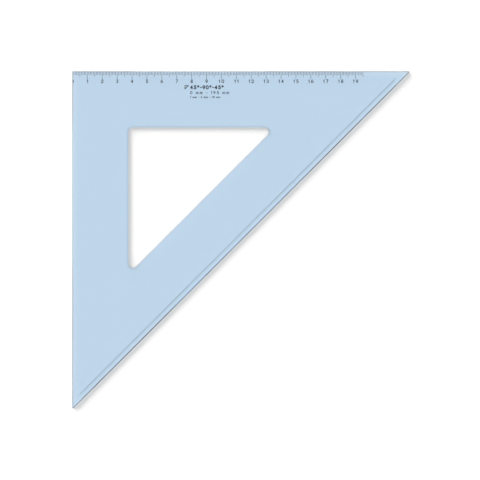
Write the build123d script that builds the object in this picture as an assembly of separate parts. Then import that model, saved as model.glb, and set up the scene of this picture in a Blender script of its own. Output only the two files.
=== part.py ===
"""A transparent drafting set square, 45/90/45 degrees, with a millimetre scale along one leg.

The plate lies flat with its underside on Z = 0. Its right-angled corner is at -X +Y, the leg with the
scale runs along X on the +Y side, the plain leg runs along Y on the -X side, and the origin is under the
middle of the hypotenuse. All sizes are in millimetres.
"""

from build123d import *

import os
from math import atan2, degrees, sqrt

# Plate
LEG = 226.6
PLATE_THICKNESS = 2.2
INK_GAP_WIDTH = 3.8
INK_GAP_HEIGHT = 0.3
BAND_WIDTH = 37.5
TIP_RADIUS = 0.4
FOOT_CORNER_RADIUS = 1.0
CUTOUT_CORNER_RADIUS = 3.0
HYPOTENUSE_BEVEL = 0.45
LEG_BEVEL = 0.3
LEG_TOP_RADIUS = 0.2
CUTOUT_BEVEL_WIDTH = 0.9
CUTOUT_BEVEL_HEIGHT = 0.35

# Scale, stamped flush into the upper face, measured from the scale leg's edge
INK_DEPTH = 0.05
SCALE_LENGTH = 195
MARK_WIDTH = 0.27
MARK_START = 0.3
MILLIMETRE_MARK_END = 2.5
HALF_CENTIMETRE_MARK_END = 3.6
CENTIMETRE_MARK_END = 5.2
NUMERAL_TOP = 5.4
NUMERAL_HEIGHT = 2.45
INK_EDGE_MARGIN = 0.3

# Stamped block below the scale: a pictogram and three lines, measured from the plain leg's edge and
# from the scale leg's edge
BLOCK_LEFT = 75.3
BLOCK_LINES_LEFT = 79.0
PICTOGRAM_PEN = 0.5
ANGLE_LINE_TOP = 9.3
ANGLE_LINE_HEIGHT = 2.7
RANGE_LINE_TOP = 13.2
RANGE_LINE_HEIGHT = 2.1
DIVISION_LINE_TOP = 16.6
DIVISION_LINE_HEIGHT = 1.35

# Lettering, as shares of the height from the lowest pen line to the highest
PLAIN_PEN = 0.22
BOLD_PEN = 0.3
DIGIT_WIDTH = 0.62
ONE_WIDTH = 0.22
LOWER_CASE_HEIGHT = 0.68
CLOSE_GAP = 0.2
PLAIN_GAP = 0.3
WIDE_GAP = 0.5

LEFT_EDGE = -LEG / 2
TOP_EDGE = LEG / 2


def inset_triangle(inset, corner_radius):
    """The plate's outline drawn the given distance inside its three sides, with round or sharp corners."""
    short_leg = LEG - inset * (2 + sqrt(2))
    corner_x = LEFT_EDGE + inset
    corner_y = TOP_EDGE - inset
    outline = Polyline(
        (corner_x, corner_y),
        (corner_x, corner_y - short_leg),
        (corner_x + short_leg, corner_y),
        close=True,
    )
    face = make_face(outline)
    return fillet(face.vertices(), corner_radius) if corner_radius else face


def lower_face(solid):
    return solid.faces().sort_by(Axis.Z)[0]


def upper_face(solid):
    return solid.faces().sort_by(Axis.Z)[-1]


def leg_edges(face):
    """The two edges of a triangular face that run along the legs."""
    return face.edges().filter_by(Axis.X) + face.edges().filter_by(Axis.Y)


def edged_sheet():
    """The sheet before its foot and cut-out, bevelled along its lower edges and rounded along the legs."""
    sheet = Pos(0, 0, INK_GAP_HEIGHT) * extrude(inset_triangle(0, 0), PLATE_THICKNESS - INK_GAP_HEIGHT)
    sheet = chamfer(lower_face(sheet).edges().sort_by(SortBy.LENGTH)[-1], HYPOTENUSE_BEVEL)
    sheet = chamfer(leg_edges(lower_face(sheet)), LEG_BEVEL)
    sheet = fillet(leg_edges(upper_face(sheet)), LEG_TOP_RADIUS)
    return sheet & extrude(inset_triangle(0, TIP_RADIUS), PLATE_THICKNESS)


def moulded_plate():
    """The plate before printing: a sheet on a foot that stops short of the outer edges, with the cut-out."""
    plate = edged_sheet() + extrude(inset_triangle(INK_GAP_WIDTH, FOOT_CORNER_RADIUS), INK_GAP_HEIGHT)
    plate -= extrude(inset_triangle(BAND_WIDTH, CUTOUT_CORNER_RADIUS), PLATE_THICKNESS)
    underside = lower_face(plate)
    cutout_edges = underside.inner_wires().edges()
    return chamfer(cutout_edges, CUTOUT_BEVEL_WIDTH, CUTOUT_BEVEL_HEIGHT, reference=underside)


def stroke(path, pen):
    """The area that a round pen leaves along a path, open or closed."""
    line = Wire(path.edges())
    if line.is_closed:
        return make_face(line.offset_2d(pen / 2)) - make_face(line.offset_2d(-pen / 2))
    return SlotArc(line, pen)


def digit_paths():
    """Pen paths of the ten digits, one unit high, on the baseline."""
    wide = DIGIT_WIDTH
    bowl = wide / 2
    middle = 0.52
    upper_bowl = (1 - middle) / 2
    lower_bowl = middle / 2
    two_slope = 2 * degrees(atan2(1 - bowl, bowl)) - 90
    two_bowl = CenterArc((bowl, 1 - bowl), bowl, two_slope - 90, 262 - two_slope)
    five_bowl = CenterArc((bowl, bowl), bowl, -150, 275)
    six_stem_radius = 0.85
    six_bowl = CenterArc((bowl, bowl), bowl, 0, 360)
    six_stem = CenterArc((six_stem_radius, bowl), six_stem_radius, 126, 54)
    half_turn = Rot(0, 0, 180)
    nine_shift = Pos(wide, 1)
    zero_side = Line((0, bowl), (0, 1 - bowl))
    return {
        "0": [
            Curve()
            + [
                CenterArc((bowl, bowl), bowl, 180, 180),
                CenterArc((bowl, 1 - bowl), bowl, 0, 180),
                zero_side,
                Pos(wide, 0) * zero_side,
            ]
        ],
        "1": [Polyline((0, 0.8), (ONE_WIDTH, 1), (ONE_WIDTH, 0))],
        "2": [Curve() + [two_bowl, Polyline(two_bowl @ 0, (0, 0), (wide, 0))]],
        "3": [
            CenterArc((bowl, 1 - upper_bowl), upper_bowl, -90, 245),
            CenterArc((bowl, lower_bowl), lower_bowl, -155, 245),
        ],
        "4": [Line((0.45, 0), (0.45, 1)), Polyline((0.45, 1), (0, 0.3), (wide, 0.3))],
        "5": [Curve() + [five_bowl, Polyline(five_bowl @ 1, (0.14, 1), (0.56, 1))]],
        "6": [six_bowl, six_stem],
        "7": [Polyline((0, 1), (wide, 1), (0.2, 0))],
        "8": [
            CenterArc((bowl, 1 - upper_bowl), upper_bowl, 0, 360),
            CenterArc((bowl, lower_bowl), lower_bowl, 0, 360),
        ],
        "9": [nine_shift * half_turn * six_bowl, nine_shift * half_turn * six_stem],
    }


def letter_paths():
    """Pen paths of the other characters as (width, paths), one unit high, on the baseline."""
    tall = LOWER_CASE_HEIGHT
    arch = 0.21
    arch_line = Curve() + [
        CenterArc((arch, tall - arch), arch, 0, 180),
        Line((2 * arch, tall - arch), (2 * arch, 0)),
    ]
    degree = 0.2
    return {
        "m": (4 * arch, [Line((0, 0), (0, tall)), arch_line, Pos(2 * arch, 0) * arch_line]),
        "\N{DEGREE SIGN}": (2 * degree, [CenterArc((degree, 1 - degree), degree, 0, 360)]),
        "-": (0.3, [Line((0, 0.45), (0.3, 0.45))]),
        " ": (0.15, []),
    }


GLYPHS = {digit: (DIGIT_WIDTH, paths) for digit, paths in digit_paths().items()} | letter_paths()
GLYPHS["1"] = (ONE_WIDTH, GLYPHS["1"][1])


def lettering(text, height, pen, gap):
    """A line of text as flat areas, with its left end at X = 0 and its top at Y = 0."""
    line_height = height / (1 + pen)
    baseline = pen / 2 * line_height - height
    areas = []
    cursor = pen / 2
    for character in text:
        width, paths = GLYPHS[character]
        if paths:
            glyph = scale(Sketch() + [stroke(path, pen) for path in paths], line_height)
            areas += (Pos(cursor * line_height, baseline) * glyph).faces()
        cursor += width + pen + gap
    return areas


def shifted(areas, x, y):
    """Flat areas moved to a distance from the plain leg's edge and from the scale leg's edge."""
    return [Pos(LEFT_EDGE + x, TOP_EDGE - y) * area for area in areas]


def scale_mark(position, end):
    """One stroke of the scale, as a flat area."""
    length = end - MARK_START
    return shifted([Rectangle(MARK_WIDTH, length).face()], position, MARK_START + length / 2)[0]


def numeral(value):
    """One number of the scale, centred under its mark, without what would fall off the plate."""
    areas = lettering(str(value), NUMERAL_HEIGHT, PLAIN_PEN, WIDE_GAP)
    width = max(area.bounding_box().max.X for area in areas)
    placed = shifted(areas, 10 * value - width / 2, NUMERAL_TOP)
    printable = inset_triangle(INK_EDGE_MARGIN, TIP_RADIUS)
    return [piece for area in placed for piece in (area & printable).faces()]


def pictogram():
    """A small outline of the set square itself."""
    size = ANGLE_LINE_HEIGHT - PICTOGRAM_PEN
    half = PICTOGRAM_PEN / 2
    outline = Polyline((half, -half), (half, -half - size), (half + size, -half), close=True)
    return stroke(outline, PICTOGRAM_PEN).faces()


def printed_areas():
    """Every printed node's flat areas, as seen from above."""
    minor_marks = [mark for mark in range(1, SCALE_LENGTH) if mark % 5]
    half_marks = range(5, SCALE_LENGTH + 1, 10)
    major_marks = range(10, SCALE_LENGTH, 10)
    degree = "\N{DEGREE SIGN}"
    angles = lettering(f"45{degree}-90{degree}-45{degree}", ANGLE_LINE_HEIGHT, BOLD_PEN, CLOSE_GAP)
    scale_range = lettering(f"0 mm - {SCALE_LENGTH} mm", RANGE_LINE_HEIGHT, PLAIN_PEN, WIDE_GAP)
    divisions = lettering("1 mm - 5 mm - 10 mm", DIVISION_LINE_HEIGHT, BOLD_PEN, PLAIN_GAP)
    return {
        "millimetre_marks": [scale_mark(mark, MILLIMETRE_MARK_END) for mark in minor_marks],
        "half_centimetre_marks": [scale_mark(mark, HALF_CENTIMETRE_MARK_END) for mark in half_marks],
        "centimetre_marks": [scale_mark(mark, CENTIMETRE_MARK_END) for mark in major_marks],
        "scale_numerals": [area for value in range(SCALE_LENGTH // 10 + 1) for area in numeral(value)],
        "triangle_pictogram": shifted(pictogram(), BLOCK_LEFT, ANGLE_LINE_TOP),
        "angle_legend": shifted(angles, BLOCK_LINES_LEFT, ANGLE_LINE_TOP),
        "range_legend": shifted(scale_range, BLOCK_LINES_LEFT, RANGE_LINE_TOP),
        "division_legend": shifted(divisions, BLOCK_LINES_LEFT, DIVISION_LINE_TOP),
    }


def main():
    """Builds the plate with its filled print recesses and writes one file for each node."""
    os.makedirs("parts", exist_ok=True)
    plate = moulded_plate()
    ink_floor = Pos(0, 0, PLATE_THICKNESS - INK_DEPTH)
    for name, areas in printed_areas().items():
        ink = Compound([extrude(ink_floor * area, INK_DEPTH).solid() for area in areas])
        plate -= ink
        export_step(ink, f"parts/{name}.step")
    export_step(plate, "parts/triangle_plate.step")


main()
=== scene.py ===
"""The looks of the transparent set square: its two materials, the floor, the light and the camera."""

import math

import bmesh
import bpy
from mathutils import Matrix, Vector


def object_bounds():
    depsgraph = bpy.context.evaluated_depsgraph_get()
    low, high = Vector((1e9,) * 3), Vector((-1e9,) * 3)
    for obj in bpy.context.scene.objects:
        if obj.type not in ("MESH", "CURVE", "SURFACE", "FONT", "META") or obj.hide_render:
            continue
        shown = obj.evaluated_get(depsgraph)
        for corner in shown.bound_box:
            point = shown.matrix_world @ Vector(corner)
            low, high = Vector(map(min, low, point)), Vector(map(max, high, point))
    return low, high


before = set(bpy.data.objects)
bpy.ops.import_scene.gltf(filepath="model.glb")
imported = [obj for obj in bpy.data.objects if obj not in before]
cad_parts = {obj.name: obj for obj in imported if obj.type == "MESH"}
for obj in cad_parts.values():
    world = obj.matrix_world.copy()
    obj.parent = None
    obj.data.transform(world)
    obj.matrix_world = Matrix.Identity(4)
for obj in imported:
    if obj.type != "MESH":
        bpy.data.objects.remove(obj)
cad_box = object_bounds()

PLATE = "triangle_plate"
BLACK = (0.0, 0.0, 0.0)
WHITE = (1.0, 1.0, 1.0)

# Sizes are in metres and angles in degrees. A noise runs from 0 to 1, and a PART is a stretch of that.
NOISE_MIDDLE = 0.5
NOISE_DETAIL = 2.0

# The clear blue plastic, with its absorption per metre
PLASTIC_IOR = 1.49
PLASTIC_TINT = (0.817, 0.908, 0.988)
PLASTIC_ABSORPTION = (20.0, 12.0, 6.0)
ABSORPTION_DENSITY = 25.0
FACE_TRANSMITTANCE = 0.99
FLAT_PREFERENCE = 4.0
GLOSS_ROUGHNESS = 0.02
MOULD_WAVE_SIZE = 0.02
MOULD_WAVE_DEPTH = 0.000002

# The handling marks on it. A scratch lies where a noise is within the half width of its middle.
SMUDGE_SIZE = 0.03
SMUDGE_PART = (0.45, 0.7)
SMUDGE_ROUGHNESS = 0.02
SCRATCH_ANGLES = (12.0, 71.0, 143.0)
SCRATCH_LENGTH = 0.02
SCRATCH_SPACING = 0.0012
SCRATCH_HALF_WIDTH = 0.01
SCRATCH_PATCH_SIZE = SMUDGE_SIZE / 2
SCRATCH_PATCH_PART = (0.52, 0.62)
SCRATCH_ROUGHNESS = 0.10
SCRATCH_DEPTH = 0.000001

# The stamped ink
INK_DARK = (0.010, 0.015, 0.023)
INK_LIGHT = (0.026, 0.036, 0.052)
INK_COLOUR_PART = (0.35, 0.7)
INK_ROUGHNESS = (0.45, 0.7)
INK_ROUGHNESS_PART = (0.3, 0.7)
INK_GRAIN_SIZE = 0.00018
INK_GRAIN_DETAIL = 4.0
INK_GRAIN_DEPTH = 0.000006

# The floor
FLOOR_GAP = 0.00005
FLOOR_RADIUS = 2.5
FLOOR_RINGS = 6
FLOOR_SECTORS = 96
FLOOR_COLOURS = ((0.80, 0.80, 0.80), (0.83, 0.83, 0.83))
FLOOR_ROUGHNESS = 0.9
FLOOR_FIBRE_SIZE = 0.0012
FLOOR_FIBRE_DETAIL = 6.0
FLOOR_FIBRE_DEPTH = 0.00001

# The light
EDGE_BOUNCES = 128
ROOM_RADIANCE = 0.06
WALL_RADIANCE = 0.75
WALL_SHARPNESS = 3.0
CEILING_IRRADIANCE = 1.92
CEILING_SPREAD = 50.0
CEILING_AZIMUTH = 0.0
CEILING_ELEVATION = 90.0
WINDOW_IRRADIANCE = 5.05
WINDOW_SPREAD = 60.0
WINDOW_AZIMUTH = 135.0
WINDOW_ELEVATION = 20.0

# The camera, whose lens and sensor are in millimetres
VIEW_WIDTH = 0.3221
VIEW_CENTRE_SHIFT = (-0.00057, -0.0001)
CLIP_RATIO = 10
LENS = 200.0
SENSOR = 36.0


def add_node(tree, kind, settings=None, **inputs):
    """Adds a shader node. An input is named with underscores for spaces, or by its number as in_0.

    Each input is given a value, or a socket to link.
    """
    made = tree.nodes.new("ShaderNode" + kind)
    for name, value in (settings or {}).items():
        setattr(made, name, value)
    for name, value in inputs.items():
        position = name.rsplit("_", 1)[-1]
        socket = made.inputs[int(position) if position.isdigit() else name.replace("_", " ")]
        if isinstance(value, bpy.types.NodeSocket):
            tree.links.new(value, socket)
        else:
            socket.default_value = value
    return made


def maths(tree, operation, first, second=0.0):
    """The result of one Math node."""
    return add_node(tree, "Math", {"operation": operation}, in_0=first, in_1=second).outputs[0]


def ramped(tree, value, part, low, high):
    """A value mapped smoothly from a stretch of its range onto low to high."""
    mapped = add_node(
        tree,
        "MapRange",
        {"interpolation_type": "SMOOTHSTEP"},
        Value=value,
        From_Min=part[0],
        From_Max=part[1],
        To_Min=low,
        To_Max=high,
    )
    return mapped.outputs["Result"]


def blended(tree, share, first, second):
    """A colour that goes from the first at share 0 to the second at share 1."""
    mixed = add_node(
        tree,
        "Mix",
        {"data_type": "RGBA"},
        in_0=share,
        in_6=(*first, 1.0),
        in_7=(*second, 1.0),
    )
    return mixed.outputs[2]


def noise(tree, coordinates, size, detail=NOISE_DETAIL):
    """Noise with features of the given size."""
    return add_node(tree, "TexNoise", Vector=coordinates, Scale=1 / size, Detail=detail).outputs[0]


def object_coordinates(tree):
    """The place of each point on its object."""
    return add_node(tree, "TexCoord").outputs["Object"]


def new_material(name):
    """An empty node material and its output node."""
    material = bpy.data.materials.new(name)
    material.use_nodes = True
    material.node_tree.nodes.clear()
    return material, add_node(material.node_tree, "OutputMaterial")


def scratches(tree, coordinates, degrees):
    """Faint straight hairlines in one direction, as 1 on a scratch and 0 beside it."""
    turned = add_node(
        tree,
        "Mapping",
        Vector=coordinates,
        Rotation=(0.0, 0.0, math.radians(degrees)),
        Scale=(1 / SCRATCH_LENGTH, 1 / SCRATCH_SPACING, 1 / SCRATCH_LENGTH),
    )
    lines = add_node(tree, "TexNoise", Vector=turned.outputs[0], Scale=1.0, Detail=0.0).outputs[0]
    distance = maths(tree, "ABSOLUTE", maths(tree, "SUBTRACT", lines, NOISE_MIDDLE))
    line = ramped(tree, distance, (0.0, SCRATCH_HALF_WIDTH), 1.0, 0.0)
    patches = noise(tree, coordinates, SCRATCH_PATCH_SIZE)
    return maths(tree, "MULTIPLY", line, ramped(tree, patches, SCRATCH_PATCH_PART, 0.0, 1.0))


def passing_light(tree):
    """What lamps send straight through a face, which is a simplification: nothing bends their light.

    It gets out through every face, but in only as far as the face lies flat, and each face tints it.
    """
    geometry = add_node(tree, "NewGeometry")
    upward = add_node(tree, "SeparateXYZ", Vector=geometry.outputs["True Normal"]).outputs["Z"]
    flatness = maths(tree, "POWER", maths(tree, "ABSOLUTE", upward), FLAT_PREFERENCE)
    passing = maths(tree, "MAXIMUM", flatness, geometry.outputs["Backfacing"])
    face_colour = [FACE_TRANSMITTANCE * math.sqrt(channel) for channel in PLASTIC_TINT]
    colour = blended(tree, passing, BLACK, face_colour)
    return add_node(tree, "BsdfTransparent", Color=colour).outputs[0]


def clear_plastic():
    """Glossy moulded plastic, tinted by its depth, with faint handling marks."""
    material, output = new_material("clear_blue_plastic")
    tree = material.node_tree
    coordinates = object_coordinates(tree)
    scratched = 0.0
    for angle in SCRATCH_ANGLES:
        scratched = maths(tree, "MAXIMUM", scratches(tree, coordinates, angle), scratched)
    smudged = ramped(tree, noise(tree, coordinates, SMUDGE_SIZE), SMUDGE_PART, 0.0, SMUDGE_ROUGHNESS)
    roughness = maths(tree, "ADD", smudged, GLOSS_ROUGHNESS)
    roughness = maths(tree, "ADD", roughness, maths(tree, "MULTIPLY", scratched, SCRATCH_ROUGHNESS))
    waves = add_node(
        tree,
        "Bump",
        Height=noise(tree, coordinates, MOULD_WAVE_SIZE),
        Distance=MOULD_WAVE_DEPTH,
    )
    relief = add_node(
        tree,
        "Bump",
        {"invert": True},
        Height=scratched,
        Distance=SCRATCH_DEPTH,
        Normal=waves.outputs[0],
    )
    plastic = add_node(
        tree,
        "BsdfPrincipled",
        Base_Color=(*PLASTIC_TINT, 1.0),
        Roughness=roughness,
        IOR=PLASTIC_IOR,
        Transmission_Weight=1.0,
        Normal=relief.outputs[0],
    )
    surface = add_node(
        tree,
        "MixShader",
        in_0=add_node(tree, "LightPath").outputs["Is Shadow Ray"],
        in_1=plastic.outputs[0],
        in_2=passing_light(tree),
    )
    depth_colour = [1 - absorbed / ABSORPTION_DENSITY for absorbed in PLASTIC_ABSORPTION]
    tint = add_node(tree, "VolumeAbsorption", Color=(*depth_colour, 1.0), Density=ABSORPTION_DENSITY)
    tree.links.new(surface.outputs[0], output.inputs["Surface"])
    tree.links.new(tint.outputs[0], output.inputs["Volume"])
    return material


def stamped_ink():
    """Matt blue-black ink with the fine grain of stamped foil."""
    material, output = new_material("stamped_ink")
    tree = material.node_tree
    grain = noise(tree, object_coordinates(tree), INK_GRAIN_SIZE, INK_GRAIN_DETAIL)
    relief = add_node(tree, "Bump", Height=grain, Distance=INK_GRAIN_DEPTH)
    ink = add_node(
        tree,
        "BsdfPrincipled",
        Base_Color=blended(tree, ramped(tree, grain, INK_COLOUR_PART, 0.0, 1.0), INK_DARK, INK_LIGHT),
        Roughness=ramped(tree, grain, INK_ROUGHNESS_PART, *INK_ROUGHNESS),
        Normal=relief.outputs[0],
    )
    tree.links.new(ink.outputs[0], output.inputs["Surface"])
    return material


def white_paper():
    """The pale floor: matt white with a faint fibre texture."""
    material, output = new_material("white_paper")
    tree = material.node_tree
    fibres = noise(tree, object_coordinates(tree), FLOOR_FIBRE_SIZE, FLOOR_FIBRE_DETAIL)
    relief = add_node(tree, "Bump", Height=fibres, Distance=FLOOR_FIBRE_DEPTH)
    paper = add_node(
        tree,
        "BsdfPrincipled",
        Base_Color=blended(tree, fibres, *FLOOR_COLOURS),
        Roughness=FLOOR_ROUGHNESS,
        Specular_IOR_Level=0.0,
        Normal=relief.outputs[0],
    )
    tree.links.new(paper.outputs[0], output.inputs["Surface"])
    return material


def make_floor(height):
    """A wide round sheet just under the plate."""
    mesh = bpy.data.meshes.new("floor")
    shape = bmesh.new()
    centre = shape.verts.new((0.0, 0.0, height))
    turns = [2 * math.pi * sector / FLOOR_SECTORS for sector in range(FLOOR_SECTORS)]
    rings = []
    for ring in range(1, FLOOR_RINGS + 1):
        radius = FLOOR_RADIUS * (ring / FLOOR_RINGS) ** 2
        places = [(radius * math.cos(turn), radius * math.sin(turn), height) for turn in turns]
        rings.append([shape.verts.new(place) for place in places])
    for sector in range(FLOOR_SECTORS):
        following = (sector + 1) % FLOOR_SECTORS
        shape.faces.new((centre, rings[0][sector], rings[0][following]))
        for inner, outer in zip(rings, rings[1:]):
            shape.faces.new((inner[sector], outer[sector], outer[following], inner[following]))
    shape.to_mesh(mesh)
    shape.free()
    mesh.materials.append(white_paper())
    floor = bpy.data.objects.new("floor", mesh)
    bpy.context.scene.collection.objects.link(floor)


def light_room():
    """A dim room whose pale walls glow most at the height of the floor."""
    world = bpy.data.worlds.new("soft_studio")
    world.use_nodes = True
    tree = world.node_tree
    tree.nodes.clear()
    direction = add_node(tree, "TexCoord").outputs["Generated"]
    upward = maths(tree, "MAXIMUM", add_node(tree, "SeparateXYZ", Vector=direction).outputs["Z"], 0.0)
    fading = maths(tree, "EXPONENT", maths(tree, "MULTIPLY", upward, -WALL_SHARPNESS))
    strength = maths(tree, "ADD", maths(tree, "MULTIPLY", fading, WALL_RADIANCE), ROOM_RADIANCE)
    background = add_node(tree, "Background", Color=(*WHITE, 1.0), Strength=strength)
    output = add_node(tree, "OutputWorld")
    tree.links.new(background.outputs[0], output.inputs["Surface"])
    bpy.context.scene.world = world


def add_lamp(name, azimuth, elevation, irradiance, spread):
    """A broad distant lamp. It lights matt surfaces only; the gloss mirrors the room."""
    data = bpy.data.lights.new(name, "SUN")
    data.energy = irradiance
    data.angle = math.radians(spread)
    data.cycles.use_multiple_importance_sampling = False
    lamp = bpy.data.objects.new(name, data)
    lamp.rotation_euler = (math.radians(90.0 - elevation), 0.0, math.radians(azimuth + 90.0))
    lamp.visible_glossy = False
    lamp.visible_transmission = False
    bpy.context.scene.collection.objects.link(lamp)


def place_camera():
    """A long lens straight above the plate."""
    low, high = cad_box
    data = bpy.data.cameras.new("camera")
    data.lens = LENS
    data.sensor_width = SENSOR
    distance = VIEW_WIDTH * LENS / SENSOR
    camera = bpy.data.objects.new("camera", data)
    centre = (low + high) / 2
    camera.location = Vector((centre.x, centre.y, high.z)) + Vector((*VIEW_CENTRE_SHIFT, distance))
    data.clip_end = CLIP_RATIO * distance
    bpy.context.scene.collection.objects.link(camera)
    bpy.context.scene.camera = camera


# Many bounces are allowed, because light goes a long way inside the plate to reach its edges.
scene = bpy.context.scene
scene.view_settings.view_transform = "Standard"
scene.cycles.blur_glossy = 0.0
scene.cycles.use_denoising = True
scene.cycles.caustics_refractive = False
scene.cycles.caustics_reflective = False
scene.cycles.max_bounces = EDGE_BOUNCES
scene.cycles.glossy_bounces = EDGE_BOUNCES
scene.cycles.transmission_bounces = EDGE_BOUNCES

plastic = clear_plastic()
ink = stamped_ink()
# The print throws no shadow onto the floor, another simplification.
for name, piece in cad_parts.items():
    for slot in piece.material_slots:
        slot.material = plastic if name == PLATE else ink
    piece.visible_shadow = name == PLATE

make_floor(cad_box[0].z - FLOOR_GAP)
light_room()
add_lamp("ceiling_lamp", CEILING_AZIMUTH, CEILING_ELEVATION, CEILING_IRRADIANCE, CEILING_SPREAD)
add_lamp("window_light", WINDOW_AZIMUTH, WINDOW_ELEVATION, WINDOW_IRRADIANCE, WINDOW_SPREAD)
place_camera()
